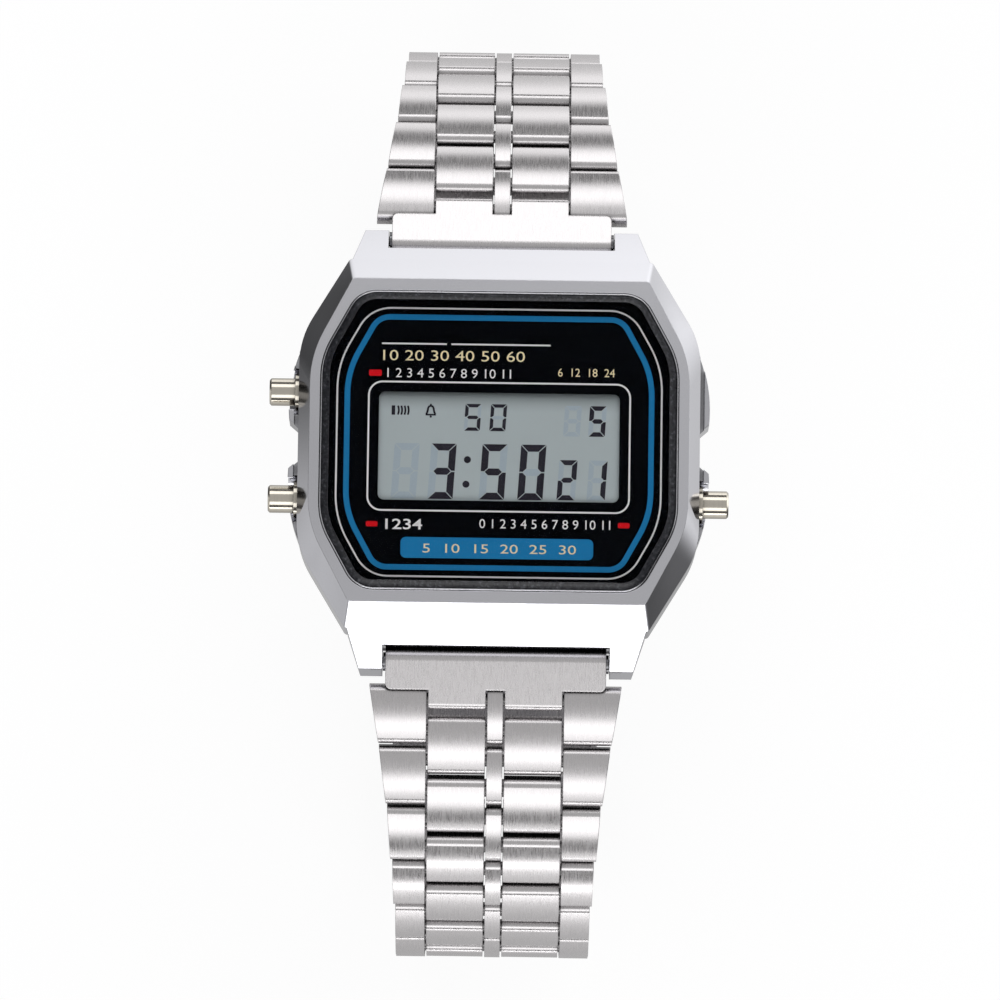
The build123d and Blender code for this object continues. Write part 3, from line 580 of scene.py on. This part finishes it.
def printed_number(text, ends, middle, height, weight, low, thick):
    """Plain numbers as a raised mesh, fitted between two ends in X, in millimetres.

    The font's digits are scaled to the height, and to the ends in X. The weight widens each
    stroke by that length before the fit.
    """
    curve = bpy.data.curves.new("number", "FONT")
    curve.body = text
    curve.size = height / DIGIT_SHARE
    curve.offset = weight
    curve.extrude = thick / 2
    curve.resolution_u = 3
    holder = bpy.data.objects.new("number", curve)
    bpy.context.scene.collection.objects.link(holder)
    bpy.context.view_layer.update()
    mesh = bpy.data.meshes.new_from_object(holder)
    bpy.data.objects.remove(holder)
    vertices = np.zeros(len(mesh.vertices) * 3, np.float32)
    mesh.vertices.foreach_get("co", vertices)
    vertices = vertices.reshape(-1, 3)
    faces = [list(p.vertices) for p in mesh.polygons]
    bpy.data.meshes.remove(mesh)
    least, most = vertices.min(axis=0), vertices.max(axis=0)
    scale = np.array([(ends[1] - ends[0]) / (most[0] - least[0]),
                      height / (most[1] - least[1]), 1])
    vertices = (vertices - (least + most) / 2) * scale
    return vertices + (sum(ends) / 2, middle, low + thick / 2), faces


class WATCH_OT_stage(bpy.types.Operator):
    """Floor, lights, world and camera."""

    bl_idname = "watch.stage"
    bl_label = "Stage"

    # The photograph's view: millimetres from the case's own point, degrees and pixels
    distance = 650.0
    elevation = 82.0
    roll = 0.8
    target = (0.15, -4.15, 4.0)
    focal_pixels = 8200.0
    frame_pixels = 1000.0
    sensor_width = 36.0

    # Each lamp's name, place and size in millimetres, and radiance. All of them aim at the watch
    lamps = (("back_softbox", (0, 503, 486), (700, 320), 1.3),
             ("front_softbox", (0, -468, 520), (700, 300), 1.4),
             ("low_front_card", (0, -680, 60), (700, 110), 2.6))
    aim = (0, 0, 35)

    # The floor: half its side in metres, its paper's colour, and, as the camera sees it, the
    # share and the strength of its own light
    half_side = 3.0
    paper = (0.86, 0.86, 0.87, 1)
    own_share = 0.8
    own_strength = 1.12

    # The floor's brightness in reflections: two places in metres and the factor at each of
    # them, along X, along Y and by the distance from the watch
    floor_side = (-0.15, 0.15, 0.5, 1.05)
    floor_back = (-0.2, 0.25, 1.1, 1.9)
    floor_near = (0.03, 0.15, 0.45, 1.0)
    floor_reach = 8.0

    # The sky's brightness by the height of a direction, from the horizon to overhead, and the
    # factor on it from the left to the right
    sky = ((0.0, 1.0), (0.06, 0.8), (0.15, 0.1), (0.4, 0.09), (0.62, 0.4), (0.8, 0.46),
           (0.94, 0.44), (1.0, 0.44))
    sky_side = (-1.0, 1.0, 0.78, 1.69)

    # Black flags stand along a line seen from above. The first range darkens directions near
    # the line, and the second frees those that point nearly straight up or down
    flag_line = (-0.86, 0.51, 0.0)
    flag_width = (0.88, 0.99, 1.0, 0.12)
    flag_foot = (0.05, 0.6, 1.0, 0.0)

    def execute(self, context):
        """Makes the pale floor, the soft lights and the camera."""
        self.camera(context)
        self.floor(context)
        self.world(context)
        for values in self.lamps:
            self.lamp(context, *values)
        return {"FINISHED"}

    def camera(self, context):
        """The camera looks down at the dial from the 6 o'clock side."""
        data = bpy.data.cameras.new("camera")
        camera = bpy.data.objects.new("camera", data)
        context.scene.collection.objects.link(camera)
        data.sensor_width = self.sensor_width
        data.lens = self.focal_pixels / self.frame_pixels * self.sensor_width
        data.clip_start, data.clip_end = 0.05, 20.0
        lean = math.radians(self.elevation)
        back = Vector((0, -math.cos(lean), math.sin(lean)))
        place = Vector(self.target) + back * self.distance
        camera.location = Vector(CASE_POINT) + place * MM
        turn = (-back).to_track_quat("-Z", "Y").to_matrix()
        roll = Matrix.Rotation(math.radians(self.roll), 3, "Z")
        camera.rotation_euler = (turn @ roll).to_euler()
        context.scene.camera = camera
        context.scene.view_settings.view_transform = "Standard"

    def floor(self, context):
        """A wide pale sheet that the watch stands on, with a soft shadow."""
        half = self.half_side
        mesh = bpy.data.meshes.new("floor")
        mesh.from_pydata([(-half, -half, 0), (half, -half, 0), (half, half, 0),
                          (-half, half, 0)], [], [(0, 1, 2, 3)])
        floor = bpy.data.objects.new("floor", mesh)
        context.scene.collection.objects.link(floor)
        material = bpy.data.materials.new("pale_paper")
        material.use_nodes = True
        tree = material.node_tree
        tree.nodes.clear()
        paper = add_node(tree, "ShaderNodeBsdfDiffuse", inputs={"Color": self.paper})
        path = add_node(tree, "ShaderNodeLightPath")
        glossy = path.outputs["Is Glossy Ray"]
        clear = add_node(tree, "ShaderNodeMath", {"operation": "MAXIMUM"}, {
            0: path.outputs["Is Camera Ray"], 1: path.outputs["Is Transmission Ray"]})
        direct = add_node(tree, "ShaderNodeMath", {"operation": "MULTIPLY"}, {
            0: clear.outputs["Value"], 1: self.own_share})
        share = add_node(tree, "ShaderNodeMath", {"operation": "MAXIMUM"}, {
            0: direct.outputs["Value"], 1: glossy})
        seen = add_node(tree, "ShaderNodeMath", {"operation": "MULTIPLY"}, {
            0: clear.outputs["Value"], 1: self.own_strength})
        strength = add_node(tree, "ShaderNodeMath", {"operation": "MAXIMUM"}, {
            0: seen.outputs["Value"], 1: self.mirrored(tree, glossy)})
        glow = add_node(tree, "ShaderNodeEmission", inputs={
            "Color": (1, 1, 1, 1), "Strength": strength.outputs["Value"]})
        mix = add_node(tree, "ShaderNodeMixShader", inputs={
            "Fac": share.outputs["Value"], 1: paper.outputs["BSDF"],
            2: glow.outputs["Emission"]})
        add_node(tree, "ShaderNodeOutputMaterial", inputs={"Surface": mix.outputs["Shader"]})
        mesh.materials.append(material)

    def mirrored(self, tree, glossy):
        """How bright the floor is in reflections.

        It grows to the right and to the back, falls at the black flags, and is dark under the
        watch, all as factors of the place.
        """
        spot = add_node(tree, "ShaderNodeNewGeometry").outputs["Position"]
        parts = add_node(tree, "ShaderNodeSeparateXYZ", inputs={"Vector": spot})
        flat = add_node(tree, "ShaderNodeVectorMath", {"operation": "MULTIPLY"}, {
            0: spot, 1: (1, 1, 0)})
        far = add_node(tree, "ShaderNodeVectorMath", {"operation": "LENGTH"}, {
            0: flat.outputs["Vector"]})
        reach = add_node(tree, "ShaderNodeVectorMath", {"operation": "SCALE"}, {
            0: spot, "Scale": self.floor_reach})
        factors = []
        for place, ends in ((parts.outputs["X"], self.floor_side),
                            (parts.outputs["Y"], self.floor_back),
                            (far.outputs["Value"], self.floor_near)):
            factors.append(add_node(tree, "ShaderNodeMapRange", inputs={
                "Value": place, **between(*ends)}).outputs["Result"])
        factors.append(self.flagged(tree, reach.outputs["Vector"]))
        level = glossy
        for factor in factors:
            level = add_node(tree, "ShaderNodeMath", {"operation": "MULTIPLY"}, {
                0: level, 1: factor}).outputs["Value"]
        return level

    def flagged(self, tree, vector):
        """A factor for black flags at the upper left and lower right: dark along their line."""
        flat = add_node(tree, "ShaderNodeVectorMath", {"operation": "MULTIPLY"}, {
            0: vector, 1: (1, 1, 0)})
        unit = add_node(tree, "ShaderNodeVectorMath", {"operation": "NORMALIZE"}, {
            0: flat.outputs["Vector"]})
        along = add_node(tree, "ShaderNodeVectorMath", {"operation": "DOT_PRODUCT"}, {
            0: unit.outputs["Vector"], 1: self.flag_line})
        size = add_node(tree, "ShaderNodeMath", {"operation": "ABSOLUTE"}, {
            0: along.outputs["Value"]})
        dark = add_node(tree, "ShaderNodeMapRange", {"interpolation_type": "SMOOTHSTEP"}, {
            "Value": size.outputs["Value"], **between(*self.flag_width)})
        lean = add_node(tree, "ShaderNodeVectorMath", {"operation": "LENGTH"}, {
            0: flat.outputs["Vector"]})
        steep = add_node(tree, "ShaderNodeMapRange", inputs={
            "Value": lean.outputs["Value"], **between(*self.flag_foot)})
        return add_node(tree, "ShaderNodeMath", {"operation": "MAXIMUM"}, {
            0: dark.outputs["Result"], 1: steep.outputs["Result"]}).outputs["Value"]

    def world(self, context):
        """A studio: white at the horizon, dark above it, grey overhead, darker at the left."""
        world = bpy.data.worlds.new("pale_studio")
        context.scene.world = world
        world.use_nodes = True
        tree = world.node_tree
        tree.nodes.clear()
        direction = add_node(tree, "ShaderNodeTexCoord").outputs["Generated"]
        parts = add_node(tree, "ShaderNodeSeparateXYZ", inputs={"Vector": direction})
        ramp = add_node(tree, "ShaderNodeValToRGB", inputs={"Fac": parts.outputs["Z"]})
        bands = ramp.color_ramp
        bands.interpolation = "EASE"
        while len(bands.elements) < len(self.sky):
            bands.elements.new(0.5)
        for element, (height, grey) in zip(bands.elements, self.sky):
            element.position = height
            element.color = (grey, grey, grey, 1)
        side = add_node(tree, "ShaderNodeMapRange", inputs={
            "Value": parts.outputs["X"], **between(*self.sky_side)})
        dimmed = add_node(tree, "ShaderNodeMath", {"operation": "MULTIPLY"}, {
            0: side.outputs["Result"], 1: self.flagged(tree, direction)})
        seen = add_node(tree, "ShaderNodeLightPath").outputs["Is Camera Ray"]
        white = add_node(tree, "ShaderNodeMix", {"data_type": "RGBA"}, {
            "Factor": seen, "A": ramp.outputs["Color"], "B": (1, 1, 1, 1)})
        strength = add_node(tree, "ShaderNodeMath", {"operation": "MAXIMUM"}, {
            0: dimmed.outputs["Value"], 1: seen})
        sky = add_node(tree, "ShaderNodeBackground", inputs={
            "Color": white.outputs["Result"], "Strength": strength.outputs["Value"]})
        add_node(tree, "ShaderNodeOutputWorld", inputs={"Surface": sky.outputs["Background"]})

    def lamp(self, context, name, place, size, radiance):
        """A soft rectangular lamp. Its watts are radiance * pi * area."""
        data = bpy.data.lights.new(name, "AREA")
        data.shape = "RECTANGLE"
        data.size, data.size_y = size[0] * MM, size[1] * MM
        data.energy = radiance * math.pi * data.size * data.size_y
        lamp = bpy.data.objects.new(name, data)
        lamp.location = Vector(place) * MM
        away = lamp.location - Vector(self.aim) * MM
        lamp.rotation_euler = away.to_track_quat("Z", "Y").to_euler()
        context.scene.collection.objects.link(lamp)


class WATCH_OT_case(bpy.types.Operator):
    """The case: polished slopes and sides, satin plate, back, screws and bushes."""

    bl_idname = "watch.case"
    bl_label = "Case"

    def execute(self, context):
        """Finishes the case's own pieces."""
        sizes, colours = context.scene.watch_sizes, context.scene.watch_colours
        dress("case_body", [polished_steel(colours, sizes), satin_steel(colours, sizes)],
              satin_faces)
        dress("case_back", [back_steel(colours, sizes)])
        small = spring_steel(colours, sizes)
        dress("back_screws", [small])
        dress("lug_spring_bars", [small])
        dress("pusher_bushes", [turned_steel(colours, sizes)])
        return {"FINISHED"}


class WATCH_OT_pushers(bpy.types.Operator):
    """The three pushers and their springs."""

    bl_idname = "watch.pushers"
    bl_label = "Pushers"

    def execute(self, context):
        """Finishes the buttons and the coils that push them back."""
        sizes, colours = context.scene.watch_sizes, context.scene.watch_colours
        turned, wire = turned_steel(colours, sizes), spring_steel(colours, sizes)
        for name in ("light", "mode", "start"):
            dress(name + "_pusher", [turned])
            dress(name + "_spring", [wire])
        return {"FINISHED"}


class WATCH_OT_crystal(bpy.types.Operator):
    """The crystal: a clear flat plate with a ground rim, and a bright lip round it."""

    bl_idname = "watch.crystal"
    bl_label = "Crystal"

    # The outline in millimetres: half sizes, the chamfers' ends and the two radii
    outline = (13.98, 11.75, 11.1, 6.5, 2.3, 5.9)

    # The air over the dial, the height of the case's plate, and the ground rim's width
    lift = 0.06
    plate = 7.89
    rim_width = 0.55

    # The clear plate's inset beside the rim, and the chamfer of its top edge, in and down
    inset = 0.01
    chamfer = (0.04, 0.03)

    # The rim's slope, in from the outline and down from the top
    slope = ((0, 0.3), (0.06, 0.2), (0.45, 0.03))

    # The lip's profile, out from the outline and up from the case's plate
    lip = ((0.01, 0), (0.15, 0), (0.14, 0.05), (0.1, 0.08), (0.06, 0.08), (0.02, 0.05))

    def execute(self, context):
        """Builds the clear plate, the dark rim and the lip."""
        sizes, colours = context.scene.watch_sizes, context.scene.watch_colours
        low = CRYSTAL_BASE + self.lift
        high = CRYSTAL_TOP - low
        outline = octagon(*self.outline)
        side = -self.rim_width - self.inset
        clear = [(side, 0), (side, high - self.chamfer[1]), (side - self.chamfer[0], high)]
        plate = add_piece("crystal_face", solid_plate(outline, clear, low), mineral_glass(),
                          "case")
        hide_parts("crystal")
        rim = [(-self.rim_width, 0), (0, 0)]
        rim += [(-inwards, high - down) for inwards, down in self.slope]
        rim += [(-self.rim_width, high)]
        edge = add_piece("crystal_rim", solid_ring(outline, rim, low), ground_glass(),
                         "case", smooth=0.8)
        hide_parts("crystal")
        add_piece("crystal_lip", solid_ring(outline, self.lip, self.plate),
                  polished_steel(colours, sizes), "case", smooth=1.0)
        return {"FINISHED"}


class WATCH_OT_dial(bpy.types.Operator):
    """The dial: black lacquer with white, blue, red and cream printing."""

    bl_idname = "watch.dial"
    bl_label = "Dial"

    # Octagons in millimetres: half sizes, the chamfers' ends and the two radii
    white_octagon = (12.9, 10.77, 10.32, 6.2, 2.85, 7.4)
    blue_octagon = (12.25, 10.2, 9.77, 5.67, 1.75, 7.1)

    # Rounded rectangles: half sizes, radius and middle
    display_frame = (10.4, 5.2, 1.15, (0.0, -0.33))
    blue_box = (7.6, 0.83, 0.42, (-0.05, -8.41))
    red_marks = ((0.5, 0.25, 0.12, (-9.84, 5.49)), (0.46, 0.21, 0.12, (-9.95, -6.57)),
                 (0.46, 0.21, 0.12, (9.94, -6.45)))

    # The two pieces of the rule above the display: their ends in X and in Y
    rule = ((-9.36, -4.23, 7.79, 7.92), (-3.87, 3.99, 7.79, 7.92))

    # Numbers: the text, its ends in X, its middle in Y, its height and its stroke's weight
    cream_numbers = (("10 20 30 40 50 60", (-9.25, 1.97), 6.92, 0.84, 0),
                     ("6  12  18  24", (4.6, 9.1), 5.71, 0.66, 0))
    box_numbers = (("5  10  15  20  25  30", (-5.9, 6.2), -8.45, 0.72, 0),)
    white_numbers = (("1 2 3 4 5 6 7 8 9 10 11", (-8.9, 0.89), 5.52, 0.74, 0),
                     ("1234", (-8.88, -5.96), -6.56, 0.84, 0.012),
                     ("0 1 2 3 4 5 6 7 8 9 10 11", (-1.46, 8.88), -6.44, 0.74, 0))

    def execute(self, context):
        """Prints the dial's lines, band, box, marks and plain numbers, ink by ink."""
        sizes, colours = context.scene.watch_sizes, context.scene.watch_colours
        self.thick = sizes.ink / MM
        white, blue = sizes.line_width / MM, sizes.band_width / MM
        dress("dial_plate", [dial_lacquer(colours)])
        self.print_ink("dial_lines", "white_screen_ink", colours.white_ink, [
            self.band(octagon(*self.white_octagon), white),
            self.band(rectangle(*self.display_frame), white),
            *(self.patch(bar_corners(*ends)) for ends in self.rule)])
        self.print_ink("dial_blue", "blue_screen_ink", colours.blue_ink, [
            self.band(octagon(*self.blue_octagon), blue),
            self.patch(rectangle(*self.blue_box)[0])])
        self.print_ink("dial_marks", "red_screen_ink", colours.red_ink, [
            self.patch(rectangle(*mark)[0]) for mark in self.red_marks])
        self.print_ink("dial_cream_numbers", "cream_screen_ink", colours.cream_ink,
                       self.numbers(self.cream_numbers, CRYSTAL_BASE)
                       + self.numbers(self.box_numbers, CRYSTAL_BASE + self.thick))
        self.print_ink("dial_white_numbers", "white_number_ink", colours.white_ink,
                       self.numbers(self.white_numbers, CRYSTAL_BASE))
        return {"FINISHED"}

    def band(self, outline, width):
        """A flat band of ink along an outline, inwards from it."""
        profile = [(-width, 0), (0, 0), (0, self.thick), (-width, self.thick)]
        return solid_ring(outline, profile, CRYSTAL_BASE)

    def patch(self, corners):
        """A flat shape of ink."""
        return prism(corners, CRYSTAL_BASE, CRYSTAL_BASE + self.thick)

    def numbers(self, rows, low):
        """Plain numbers, printed from a height."""
        return [printed_number(*row, low, self.thick) for row in rows]

    def print_ink(self, name, ink_name, colour, parts):
        """Makes one piece of all that is printed with one ink."""
        add_piece(name, joined(parts), ink(ink_name, colour), "case")


class WATCH_OT_display(bpy.types.Operator):
    """The liquid-crystal display: ground, lit digits, ghosts and signs."""

    bl_idname = "watch.display"
    bl_label = "Display"

    # The film's half sizes and corner radius, and its thickness, in millimetres
    film_size = (9.9, 4.7, 0.3)
    film_thickness = 0.016

    # Lower and upper heights over the panel of what is lit and of what is switched off
    lit_heights = (0.02, 0.03)
    ghost_heights = (0.016, 0.024)

    # Each digit: what it shows, its left and bottom, its width and height, and its stroke
    digits = (
        (" ", -8.5, -4.47, 1.98, 4.42, 0.55), ("3", -5.6, -4.47, 2.0, 4.42, 0.55),
        ("5", -1.55, -4.47, 2.0, 4.42, 0.55), ("0", 1.5, -4.47, 2.0, 4.42, 0.55),
        ("2", 4.6, -4.44, 1.45, 3.2, 0.4), ("1", 6.97, -4.44, 1.45, 3.2, 0.4),
        ("5", -2.8, 1.0, 1.27, 2.15, 0.27), ("0", -0.78, 1.0, 1.27, 2.15, 0.27),
        (" ", 5.05, 0.66, 1.33, 2.44, 0.36), ("5", 7.03, 0.66, 1.33, 2.44, 0.36),
    )

    # The colon's dots
    colon = ((-2.47, -1.31), (-2.56, -3.27))
    colon_radius = 0.28

    # The bars at the upper left: a straight one's ends in X and in Y, then the middles of the
    # curved ones in X and Y, half their height, how far they bend, and their stroke
    straight_bar = (-8.52, -8.24, 2.2, 2.95)
    curved_bars = ((-8.02, 2.575), (-7.76, 2.575), (-7.5, 2.575), (-7.24, 2.575))
    curve_half = 0.36
    curve_bend = 0.07
    curve_stroke = 0.15

    # The bell: its middle in X, the right half of its outline from the foot up, its stroke, the
    # bar under it by half its length and its ends in Y, and its dots by height and radius
    bell_middle = -5.42
    bell_half = ((0.36, 2.3), (0.29, 2.42), (0.24, 2.6), (0.22, 2.76), (0.15, 2.9), (0.0, 2.96))
    bell_stroke = 0.16
    bell_bar = (0.41, 2.18, 2.31)
    bell_dots = ((3.05, 0.08), (2.09, 0.09))

    def execute(self, context):
        """Lays the film over the display and the segments on it."""
        colours = context.scene.watch_colours
        dress("lcd_panel", [display_film(colours)])
        outline = rectangle(*self.film_size, (0.0, LCD_MIDDLE))
        add_piece("display_film",
                  solid_plate(outline, [(0, 0), (0, self.film_thickness)], LCD_TOP),
                  display_film(colours), "case")
        lit = [LCD_TOP + height for height in self.lit_heights]
        add_piece("display_digits",
                  joined(self.rows(*lit, True) + [prism(sign, *lit) for sign in self.signs()]),
                  ink("dark_liquid_crystal", colours.segment), "case")
        ghost = [LCD_TOP + height for height in self.ghost_heights]
        add_piece("display_ghosts", joined(self.rows(*ghost, False)),
                  ink("pale_liquid_crystal", colours.ghost), "case")
        return {"FINISHED"}

    def rows(self, low, high, lit):
        """The display's digits, or the segments of them that are switched off."""
        solids = []
        for digit in self.digits:
            solids += digit_solids(*digit, low, high, lit)
        return solids

    def signs(self):
        """Corners of the colon, the little bars and the bell."""
        shapes = [circle(self.colon_radius, dot) for dot in self.colon]
        shapes.append(bar_corners(*self.straight_bar))
        bend = np.linspace(-1, 1, 9)
        for x, y in self.curved_bars:
            bar = np.stack([x + self.curve_bend * (1 - bend ** 2),
                            y + self.curve_half * bend], axis=1)
            shapes.append(stroke_corners(bar, self.curve_stroke))
        return shapes + self.bell()

    def bell(self):
        """A bell: a stroke up one side, over the top and down the other, a bar and two dots."""
        half = np.array(self.bell_half)
        line = np.concatenate([half, half[-2::-1] * (-1, 1)]) + (self.bell_middle, 0)
        reach, low, high = self.bell_bar
        shapes = [stroke_corners(line, self.bell_stroke),
                  bar_corners(self.bell_middle - reach, self.bell_middle + reach, low, high)]
        for height, radius in self.bell_dots:
            shapes.append(circle(radius, (self.bell_middle, height), 12))
        return shapes


class WATCH_OT_module(bpy.types.Operator):
    """The module inside the case, which the back hides."""

    bl_idname = "watch.module"
    bl_label = "Module"

    def execute(self, context):
        """Gives each inner node its material."""
        sizes, colours = context.scene.watch_sizes, context.scene.watch_colours
        groups = (
            (silicone_rubber(), ("crystal_gasket", "back_gasket", "connector_strips")),
            (module_plastic(), ("module_frame", "battery_holder")),
            (reflector_foil(), ("lcd_reflector",)),
            (board_laminate(), ("circuit_board",)),
            (back_steel(colours, sizes), ("battery",)),
            (spring_steel(colours, sizes), ("battery_clip", "quartz_can")),
            (plated_brass(), ("contact_blades", "buzzer", "buzzer_spring")),
            (chip_resin(), ("chip",)),
            (lamp_glass(), ("lamp",)),
        )
        for material, nodes in groups:
            for node in nodes:
                dress(node, [material])
        return {"FINISHED"}


class WATCH_OT_bracelet(bpy.types.Operator):
    """The bracelet: end links, rows of blocks and their pins."""

    bl_idname = "watch.bracelet"
    bl_label = "Bracelet"

    def execute(self, context):
        """Finishes each link's blocks."""
        sizes, colours = context.scene.watch_sizes, context.scene.watch_colours
        steel = brushed_steel(colours, sizes.link_edge)
        for node in sorted(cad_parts):
            if node.startswith(("link_", "end_link_")):
                dress(node, [steel])
        return {"FINISHED"}


class WATCH_OT_clasp(bpy.types.Operator):
    """The clasp: cover and folding blades."""

    bl_idname = "watch.clasp"
    bl_label = "Clasp"

    def execute(self, context):
        """Finishes the clasp's three pieces."""
        sizes, colours = context.scene.watch_sizes, context.scene.watch_colours
        steel = brushed_steel(colours, sizes.small_edge)
        for node in ("clasp_cover", "clasp_outer_blade", "clasp_inner_blade"):
            dress(node, [steel])
        return {"FINISHED"}


OPERATORS = (WATCH_OT_stage, WATCH_OT_case, WATCH_OT_pushers, WATCH_OT_crystal, WATCH_OT_dial,
             WATCH_OT_display, WATCH_OT_module, WATCH_OT_bracelet, WATCH_OT_clasp)


class WATCH_PT_panel(bpy.types.Panel):
    """Lists the watch's groups of pieces, its sizes and its colours."""

    bl_idname = "WATCH_PT_panel"
    bl_label = "Watch"
    bl_space_type = "VIEW_3D"
    bl_region_type = "UI"
    bl_category = "Watch"

    def draw(self, context):
        """Draws a button for each group, then the values."""
        for operator in OPERATORS:
            self.layout.operator(operator.bl_idname)
        for group in (context.scene.watch_sizes, context.scene.watch_colours):
            for name in group.bl_rna.properties.keys():
                if name not in ("rna_type", "name"):
                    self.layout.prop(group, name)


CLASSES = (WatchSizes, WatchColours, *OPERATORS, WATCH_PT_panel)


def register():
    """Registers the classes and the scene's two groups of values."""
    for item in CLASSES:
        bpy.utils.register_class(item)
    bpy.types.Scene.watch_sizes = bpy.props.PointerProperty(type=WatchSizes)
    bpy.types.Scene.watch_colours = bpy.props.PointerProperty(type=WatchColours)


def unregister():
    """Removes what register() added."""
    del bpy.types.Scene.watch_sizes
    del bpy.types.Scene.watch_colours
    for item in reversed(CLASSES):
        bpy.utils.unregister_class(item)


def main():
    """Builds the stage and every group of pieces."""
    register()
    bpy.ops.watch.stage()
    bpy.ops.watch.case()
    bpy.ops.watch.pushers()
    bpy.ops.watch.crystal()
    bpy.ops.watch.dial()
    bpy.ops.watch.display()
    bpy.ops.watch.module()
    bpy.ops.watch.bracelet()
    bpy.ops.watch.clasp()


if __name__ == "__main__":
    main()
